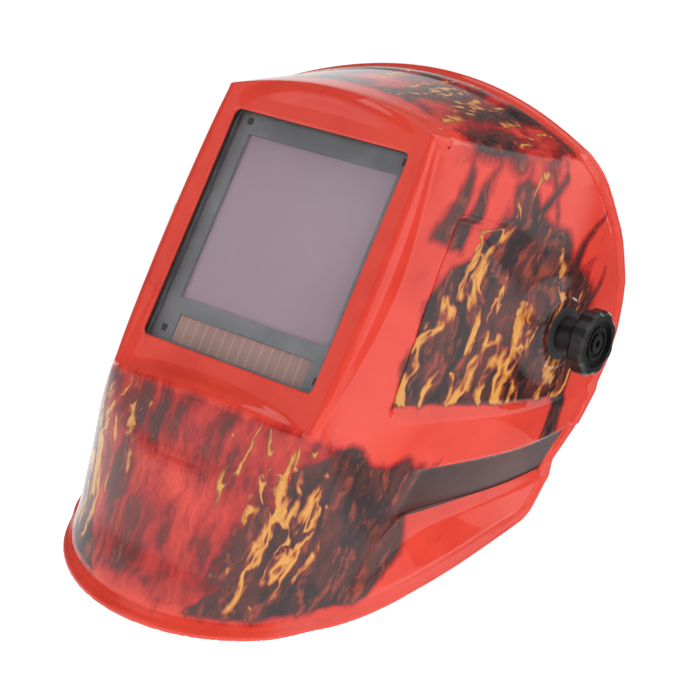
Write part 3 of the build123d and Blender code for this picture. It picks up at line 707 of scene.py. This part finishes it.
def moulded(name, colour, roughness, grain=1400.0, depth=0.12):
    """Moulded plastic: slight colour drift, fine grain and uneven gloss."""
    made, tree, shader = material(name)
    place = coordinates(tree)
    drift = noise(tree, place, 60.0, 3.0)
    light = tuple(min(c * 1.35 + 0.004, 1) for c in colour)
    tree.links.new(mixed(tree, span(tree, drift, 0.3, 0.75), colour, light), shader.inputs["Base Color"])
    fine = noise(tree, place, grain, 3.0, 0.6)
    scuff = noise(tree, stretched(tree, place, (1.0, 0.35, 1.0)), 240.0, 4.0)
    tree.links.new(span(tree, scuff, 0.35, 0.75, roughness - 0.06, roughness + 0.08),
                   shader.inputs["Roughness"])
    shader.inputs["Specular IOR Level"].default_value = 0.35
    bump(tree, shader, fine, depth, 0.0003)
    return made


def metal(name, colour, roughness, stretch):
    """Plated or drawn metal with faint lines and stains."""
    made, tree, shader = material(name)
    place = coordinates(tree)
    lines = noise(tree, stretched(tree, place, stretch), 900.0, 3.0, 0.6)
    stain = noise(tree, place, 150.0, 4.0)
    dark = tuple(c * 0.72 for c in colour)
    tree.links.new(mixed(tree, span(tree, stain, 0.35, 0.7), colour, dark), shader.inputs["Base Color"])
    tree.links.new(span(tree, lines, 0.3, 0.7, roughness - 0.07, roughness + 0.10),
                   shader.inputs["Roughness"])
    shader.inputs["Metallic"].default_value = 1.0
    bump(tree, shader, lines, 0.10, 0.0002)
    return made


def rubber(name, colour):
    """Matt rubber with fine grain and dust."""
    made, tree, shader = material(name)
    place = coordinates(tree)
    grain = noise(tree, place, 1600.0, 4.0, 0.65)
    dust = noise(tree, place, 90.0, 5.0)
    pale = tuple(c * 1.8 + 0.006 for c in colour)
    tree.links.new(mixed(tree, span(tree, dust, 0.5, 0.8), colour, pale), shader.inputs["Base Color"])
    tree.links.new(span(tree, grain, 0.3, 0.7, 0.62, 0.82), shader.inputs["Roughness"])
    bump(tree, shader, grain, 0.2, 0.0003)
    return made


def clear(name, tint, ior):
    """Clear plate with faint haze."""
    made, tree, shader = material(name)
    place = coordinates(tree)
    haze = noise(tree, place, 35.0, 4.0)
    pale = tuple(c * 0.96 for c in tint)
    tree.links.new(mixed(tree, span(tree, haze, 0.4, 0.8), tint, pale), shader.inputs["Base Color"])
    tree.links.new(span(tree, haze, 0.3, 0.8, 0.02, 0.07), shader.inputs["Roughness"])
    shader.inputs["Transmission Weight"].default_value = 1.0
    shader.inputs["IOR"].default_value = ior
    return made


def filter_glass():
    """Filter glass whose coating's even mauve-grey reflection is painted into its colour, under a real
    clear coat.
    """
    made, tree, shader = material("filter_glass")
    place = coordinates(tree)
    sheen = noise(tree, place, 9.0, 3.0, 0.5)
    # painted reflection: this mauve-grey base colour stands in for the light that the coating reflects,
    # and the sheen noise varies its tone
    colour = mixed(tree, span(tree, sheen, 0.3, 0.7), (0.320, 0.216, 0.262), (0.365, 0.266, 0.320))
    specks = noise(tree, place, 260.0, 2.0)
    colour = mixed(tree, span(tree, specks, 0.70, 0.80, 0.0, 0.25), colour, (0.24, 0.17, 0.20))
    tree.links.new(colour, shader.inputs["Base Color"])
    tree.links.new(span(tree, sheen, 0.2, 0.8, 0.10, 0.18), shader.inputs["Roughness"])
    shader.inputs["Coat Weight"].default_value = 0.6
    shader.inputs["Coat Roughness"].default_value = 0.03
    return made


def shutter_glass():
    """Dark green liquid crystal shutter, seen from behind."""
    made, tree, shader = material("shutter_glass")
    place = coordinates(tree)
    cloud = noise(tree, place, 14.0, 3.0)
    colour = mixed(tree, span(tree, cloud, 0.3, 0.75), (0.012, 0.030, 0.020), (0.020, 0.046, 0.030))
    tree.links.new(colour, shader.inputs["Base Color"])
    tree.links.new(span(tree, cloud, 0.2, 0.8, 0.05, 0.11), shader.inputs["Roughness"])
    return made


def solar_film():
    """Amorphous solar strip: cells with thin pale lines between them."""
    made, tree, shader = material("solar_film")
    low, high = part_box("solar_cell")
    place = coordinates(tree)
    parts = node(tree, "ShaderNodeSeparateXYZ", [(0, place)])
    pitch = (high.x - low.x) / SOLAR_CELLS
    cell = maths(tree, "DIVIDE", maths(tree, "SUBTRACT", parts.outputs[0], low.x), pitch)
    gap = maths(tree, "PINGPONG", cell, 0.5)
    line = span(tree, gap, 0.02, 0.06, 1.0, 0.0)
    threads = maths(tree, "PINGPONG", maths(tree, "MULTIPLY", cell, 9.0), 0.5)
    drift = noise(tree, place, 50.0, 3.0)
    colour = mixed(tree, span(tree, drift, 0.3, 0.7), (0.33, 0.185, 0.155), (0.39, 0.225, 0.19))
    colour = mixed(tree, span(tree, threads, 0.0, 0.5, 0.0, 0.25), colour, (0.28, 0.155, 0.135))
    colour = mixed(tree, maths(tree, "MULTIPLY", line, 0.7), colour, (0.56, 0.42, 0.37))
    tree.links.new(colour, shader.inputs["Base Color"])
    tree.links.new(span(tree, drift, 0.2, 0.8, 0.28, 0.40), shader.inputs["Roughness"])
    return made


def circuit_board():
    """Green board with pale traces."""
    made, tree, shader = material("board_green")
    place = coordinates(tree)
    traces = node(tree, "ShaderNodeTexBrick", [
        ("Vector", place), ("Scale", 160.0),
        ("Color1", (0.010, 0.060, 0.030, 1)), ("Color2", (0.012, 0.075, 0.036, 1)),
        ("Mortar", (0.030, 0.150, 0.070, 1)), ("Mortar Size", 0.035)])
    drift = noise(tree, place, 120.0, 3.0)
    colour = mixed(tree, span(tree, drift, 0.3, 0.8, 0.0, 0.5), traces.outputs["Color"],
                   (0.008, 0.045, 0.024))
    tree.links.new(colour, shader.inputs["Base Color"])
    tree.links.new(span(tree, drift, 0.2, 0.8, 0.28, 0.42), shader.inputs["Roughness"])
    return made


def pad_fabric():
    """Knitted face of a foam pad: fine ribs, fuzz and stitch rows."""
    made, tree, shader = material("pad_fabric")
    place = coordinates(tree)
    ribs = node(tree, "ShaderNodeTexWave", [
        ("Vector", place), ("Scale", 420.0), ("Distortion", 1.6), ("Detail", 2.0),
        ("Detail Scale", 3.0)], wave_type="BANDS", bands_direction="Z").outputs["Fac"]
    cross = node(tree, "ShaderNodeTexWave", [
        ("Vector", place), ("Scale", 380.0), ("Distortion", 1.4), ("Detail", 2.0)],
        wave_type="BANDS", bands_direction="X").outputs["Fac"]
    weave = maths(tree, "MULTIPLY", ribs, cross)
    fuzz = noise(tree, place, 1300.0, 5.0, 0.7)
    patches = noise(tree, place, 70.0, 4.0)
    colour = mixed(tree, span(tree, weave, 0.1, 0.9), (0.020, 0.020, 0.022), (0.062, 0.062, 0.066))
    colour = mixed(tree, span(tree, patches, 0.4, 0.8, 0.0, 0.5), colour, (0.075, 0.073, 0.075))
    seam = attribute(tree, "seam")
    colour = mixed(tree, seam, colour, (0.10, 0.10, 0.105))
    tree.links.new(colour, shader.inputs["Base Color"])
    shader.inputs["Roughness"].default_value = 0.92
    shader.inputs["Sheen Weight"].default_value = 0.35
    height = maths(tree, "ADD", weave, maths(tree, "MULTIPLY", fuzz, 0.7))
    bump(tree, shader, height, 0.5, 0.0006)
    return made


def dress_frame():
    """Gives every CAD part that still shows its material."""
    nylon = moulded("black_nylon", (0.020, 0.020, 0.021), 0.42)
    charcoal = moulded("housing_charcoal", (0.150, 0.153, 0.164), 0.50, 1700, 0.08)
    holder = moulded("holder_charcoal", (0.105, 0.107, 0.114), 0.50)
    gear = moulded("headgear_nylon", (0.024, 0.024, 0.026), 0.46, 1100, 0.22)
    carrier = moulded("carrier_nylon", (0.032, 0.032, 0.035), 0.40)
    knob_plastic = moulded("knob_black", (0.0035, 0.0035, 0.004), 0.36, 1500, 0.14)
    zinc = metal("zinc_steel", (0.58, 0.59, 0.60), 0.30, (1.0, 0.12, 1.0))
    spring = metal("spring_steel", (0.50, 0.50, 0.52), 0.24, (0.1, 1.0, 1.0))
    brass = metal("contact_brass", (0.74, 0.52, 0.20), 0.26, (1.0, 1.0, 0.2))
    cell = metal("cell_steel", (0.66, 0.66, 0.68), 0.20, (0.2, 1.0, 1.0))
    washer = moulded("washer_nylon", (0.030, 0.030, 0.032), 0.50)
    sensor = moulded("sensor_black", (0.045, 0.043, 0.050), 0.16, 500, 0.03)
    grey = moulded("button_grey", (0.19, 0.19, 0.20), 0.48)
    cap = moulded("cap_grey", (0.115, 0.115, 0.125), 0.44)
    pane = clear("clear_cover", (0.97, 0.97, 0.975), 1.3)
    looks = {
        "window_gasket": rubber("seal_rubber", (0.010, 0.010, 0.010)),
        "front_cover_lens": pane, "inner_cover_lens": clear("inner_cover", (0.96, 0.97, 0.96), 1.45),
        "display_window": clear("display_clear", (0.70, 0.78, 0.74), 1.45),
        "lens_holder": holder, "magnifier_rail": nylon, "holder_screws": zinc,
        "filter_housing_front": charcoal, "filter_housing_rear": charcoal,
        "light_sensors": sensor, "solar_cell": solar_film(), "uv_ir_filter": filter_glass(),
        "lcd_shutter": shutter_glass(), "control_board": circuit_board(),
        "battery_contacts": brass, "latch_screws": zinc, "crown_pins": carrier,
        "bracket_rivets": zinc, "detent_spring": spring, "size_knob": knob_plastic,
        "ratchet_pinion": carrier, "ratchet_housing": gear, "ratchet_cover": gear,
        "headband": gear,
    }
    for name in NODES:
        for key, look in (("button_", grey), ("battery_cap", cap), ("battery_left", cell),
                          ("battery_right", cell), ("retaining_latch", carrier),
                          ("pivot_carrier", carrier), ("pivot_bolt", zinc), ("stop_arm", carrier),
                          ("friction_washer", washer), ("knob_insert", brass), ("side_bracket", gear),
                          ("band_keeper", gear), ("crown_strap", gear), ("rear_strap", gear)):
            if name.startswith(key):
                looks[name] = look
        if name.startswith(("knob_left", "knob_right")):
            looks[name] = knob_plastic
    NODES["front_cover_lens"].visible_shadow = False
    for name, look in looks.items():
        piece = NODES[name]
        piece.data.materials.clear()
        piece.data.materials.append(look)


# ---------------------------------------------------------------- padded parts

# Grid of the pads, furthest that a point is blown out, and depth of a stitched groove, in metres.
PAD_VOXEL, PAD_CAP, STITCH_DEPTH = 0.0024, 0.0022, 0.0009
PAD_PRESSURE, CLOTH_FRAMES = 4.0, 20


def stuffed(source, name, shrink, seams, look):
    """Soft pad from its CAD solid, blown up as cloth, then stitched."""
    pad = bpy.data.objects.new(name, NODES[source].data.copy())
    bpy.context.scene.collection.objects.link(pad)
    pad.data.materials.clear()
    bpy.context.view_layer.objects.active = pad
    weld = pad.modifiers.new("weld", "WELD")
    weld.merge_threshold = 0.00001
    remesh = pad.modifiers.new("remesh", "REMESH")
    remesh.mode = "VOXEL"
    remesh.voxel_size = PAD_VOXEL
    bake_modifiers(pad)
    start = vertex_array(pad) - vertex_array(pad, "normal") * shrink
    pad.data.vertices.foreach_set("co", start.ravel())
    cloth = pad.modifiers.new("cloth", "CLOTH")
    settings = cloth.settings
    settings.use_pressure = True
    settings.uniform_pressure_force = PAD_PRESSURE
    settings.effector_weights.gravity = 0
    settings.quality = 5
    for frame_number in range(1, CLOTH_FRAMES + 1):
        bpy.context.scene.frame_set(frame_number)
    bake_modifiers(pad)
    bpy.context.scene.frame_set(1)
    move = vertex_array(pad) - start
    length = np.linalg.norm(move, axis=1, keepdims=True)
    move = move * np.minimum(1, PAD_CAP / np.maximum(length, 1e-9))
    pad.data.vertices.foreach_set("co", (start + move).ravel())
    smooth = pad.modifiers.new("smooth", "SUBSURF")
    smooth.levels = 1
    smooth.render_levels = 1
    bake_modifiers(pad)
    points = vertex_array(pad)
    groove = seams(points)
    points = points - vertex_array(pad, "normal") * (groove * STITCH_DEPTH)[:, None]
    pad.data.vertices.foreach_set("co", points.ravel())
    layer = pad.data.attributes.new("seam", "FLOAT", "POINT")
    layer.data.foreach_set("value", groove.astype(np.float32))
    pad.data.polygons.foreach_set("use_smooth", np.ones(len(pad.data.polygons), bool))
    pad.data.materials.append(look)
    pad.data.update()
    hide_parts(source)
    return pad


def bake_modifiers(obj):
    """Applies an object's modifiers to its mesh."""
    graph = bpy.context.evaluated_depsgraph_get()
    graph.update()
    baked = bpy.data.meshes.new_from_object(obj.evaluated_get(graph))
    old = obj.data
    obj.modifiers.clear()
    obj.data = baked
    bpy.data.meshes.remove(old)


def vertex_array(obj, key="co"):
    """Places or normals of an object's vertices, one row each."""
    values = np.empty(len(obj.data.vertices) * 3)
    obj.data.vertices.foreach_get(key, values)
    return values.reshape(-1, 3)


def groove_at(value, place, width):
    """Depth of a rounded groove, 1 at its place."""
    return np.exp(-((value - place) / width) ** 2)


def band_seams(points):
    """Stitch rows near the sweatband's upper and lower edge, and upright ones."""
    low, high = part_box("sweatband")
    x, y, z = points.T
    rows = groove_at(z, low.z + 4 * MM, 0.9 * MM) + groove_at(z, high.z - 4 * MM, 0.9 * MM)
    turn = np.degrees(np.arctan2(x, 0.024 - y))
    upright = sum(groove_at(turn, degrees, 0.9) for degrees in range(-66, 67, 22))
    return np.clip(rows + 0.7 * upright, 0, 1)


def nape_seams(points):
    """Upright stitch rows across the nape pad."""
    return sum(groove_at(points[:, 0], x * MM, 1.0 * MM) for x in range(-36, 37, 18))


# ---------------------------------------------------------------- stage, lights and camera

# The photograph's camera: where it stands, its right and backward directions, and its lens.
CAMERA_PLACE = (0.543, -0.815, -0.1243)
CAMERA_RIGHT = (0.7877, 0.4862, 0.3784)
CAMERA_BACK = (0.5516, -0.8301, -0.0816)
CAMERA_LENS, CAMERA_SENSOR = 92.57, 36.0
# Studio: the world's plain level, its level behind the helmet, and a soft key light with its place.
WORLD_LEVEL, BACKDROP_LEVEL = 0.15, 1.03
KEY_DIRECTION, KEY_LEVEL = (0.754, -0.133, 0.643), 1.65
FLOOR_GAP, FLOOR_HALF, FLOOR_GREY = 0.004, 8.0, 0.86


def make_camera():
    """Camera at the photograph's angle."""
    camera = bpy.data.objects.new("camera", bpy.data.cameras.new("camera"))
    bpy.context.scene.collection.objects.link(camera)
    right = Vector(CAMERA_RIGHT).normalized()
    back = Vector(CAMERA_BACK)
    back = (back - back.dot(right) * right).normalized()
    turn = Matrix((right, back.cross(right), back)).transposed()
    camera.matrix_world = Matrix.Translation(CAMERA_PLACE) @ turn.to_4x4()
    camera.data.lens = CAMERA_LENS
    camera.data.sensor_width = CAMERA_SENSOR
    bpy.context.scene.camera = camera
    return camera


def make_lamp(name, place, target, size, power):
    """Rectangular lamp at a place, facing a target."""
    data = bpy.data.lights.new(name, "AREA")
    data.shape = "RECTANGLE"
    data.size, data.size_y = size
    data.energy = power
    lamp = bpy.data.objects.new(name, data)
    bpy.context.scene.collection.objects.link(lamp)
    lamp.location = place
    lamp.rotation_euler = (Vector(target) - Vector(place)).to_track_quat("-Z", "Y").to_euler()


def along(tree, vector, direction):
    """How far a vector reaches along a direction."""
    made = node(tree, "ShaderNodeVectorMath", [(0, vector), (1, direction)], operation="DOT_PRODUCT")
    return made.outputs["Value"]


def make_world(toward):
    """White backdrop behind the helmet, a soft key light, and a dim level elsewhere."""
    world = bpy.data.worlds.new("studio")
    bpy.context.scene.world = world
    world.use_nodes = True
    tree = world.node_tree
    sight = node(tree, "ShaderNodeTexCoord").outputs["Generated"]
    level = span(tree, along(tree, sight, toward), 0.66, 0.95, WORLD_LEVEL, BACKDROP_LEVEL)
    key = span(tree, along(tree, sight, KEY_DIRECTION), 0.66, 0.82, 0.0, KEY_LEVEL)
    background = tree.nodes["Background"]
    tree.links.new(maths(tree, "ADD", level, key), background.inputs["Strength"])
    background.inputs["Color"].default_value = (1, 1, 1, 1)


def make_floor(toward):
    """Pale floor just below the helmet, with a bright strip that widens behind it."""
    half = FLOOR_HALF
    height = cad_bounds[0][2] - FLOOR_GAP
    mesh = bpy.data.meshes.new("floor")
    corners = [(-half, -half, height), (half, -half, height), (half, half, height), (-half, half, height)]
    mesh.from_pydata(corners, [], [(0, 1, 2, 3)])
    floor = bpy.data.objects.new("floor", mesh)
    bpy.context.scene.collection.objects.link(floor)
    made, tree, shader = material("pale_floor")
    shader.inputs["Base Color"].default_value = (FLOOR_GREY, FLOOR_GREY, FLOOR_GREY, 1)
    shader.inputs["Roughness"].default_value = 0.9
    shader.inputs["Emission Color"].default_value = (1, 1, 1, 1)
    place = coordinates(tree)
    across = Vector((toward.y, -toward.x, 0)).normalized()
    offset = maths(tree, "ABSOLUTE", along(tree, place, across))
    beyond = maths(tree, "MAXIMUM", along(tree, place, toward), 0.0)
    offset = maths(tree, "SUBTRACT", offset, maths(tree, "MULTIPLY", beyond, 0.38))
    tree.links.new(span(tree, offset, 0.32, 0.95, 0.86, 0.22), shader.inputs["Emission Strength"])
    mesh.materials.append(made)


def make_stage(camera):
    """White studio round the helmet: brightest behind it, softer elsewhere."""
    right, up, back = [Vector(axis) for axis in camera.matrix_world.to_3x3().transposed()]
    make_world(-back)
    make_floor(-back)
    make_lamp("top_box", up * 1.0 + back * 0.30 + right * 0.15, (0, 0, 0), (1.1, 0.8), 4.5)
    make_lamp("rear_strip", (0.17, 1.08, 0.69), (0, 0, 0), (0.7, 0.35), 2.2)
    make_lamp("left_box", -right * 1.0 + back * 0.55 + up * 0.2, (0, 0, -0.05), (0.5, 1.2), 1.0)


bpy.context.scene.view_settings.view_transform = "Standard"
camera = make_camera()
make_stage(camera)
make_shell()
fabric = pad_fabric()
sweatband = stuffed("sweatband", "sweatband_padded", 0.0007, band_seams, fabric)
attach(sweatband, "headgear")
nape = stuffed("nape_pad", "nape_pad_padded", 0.0008, nape_seams, fabric)
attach(nape, "rear_band")
dress_frame()
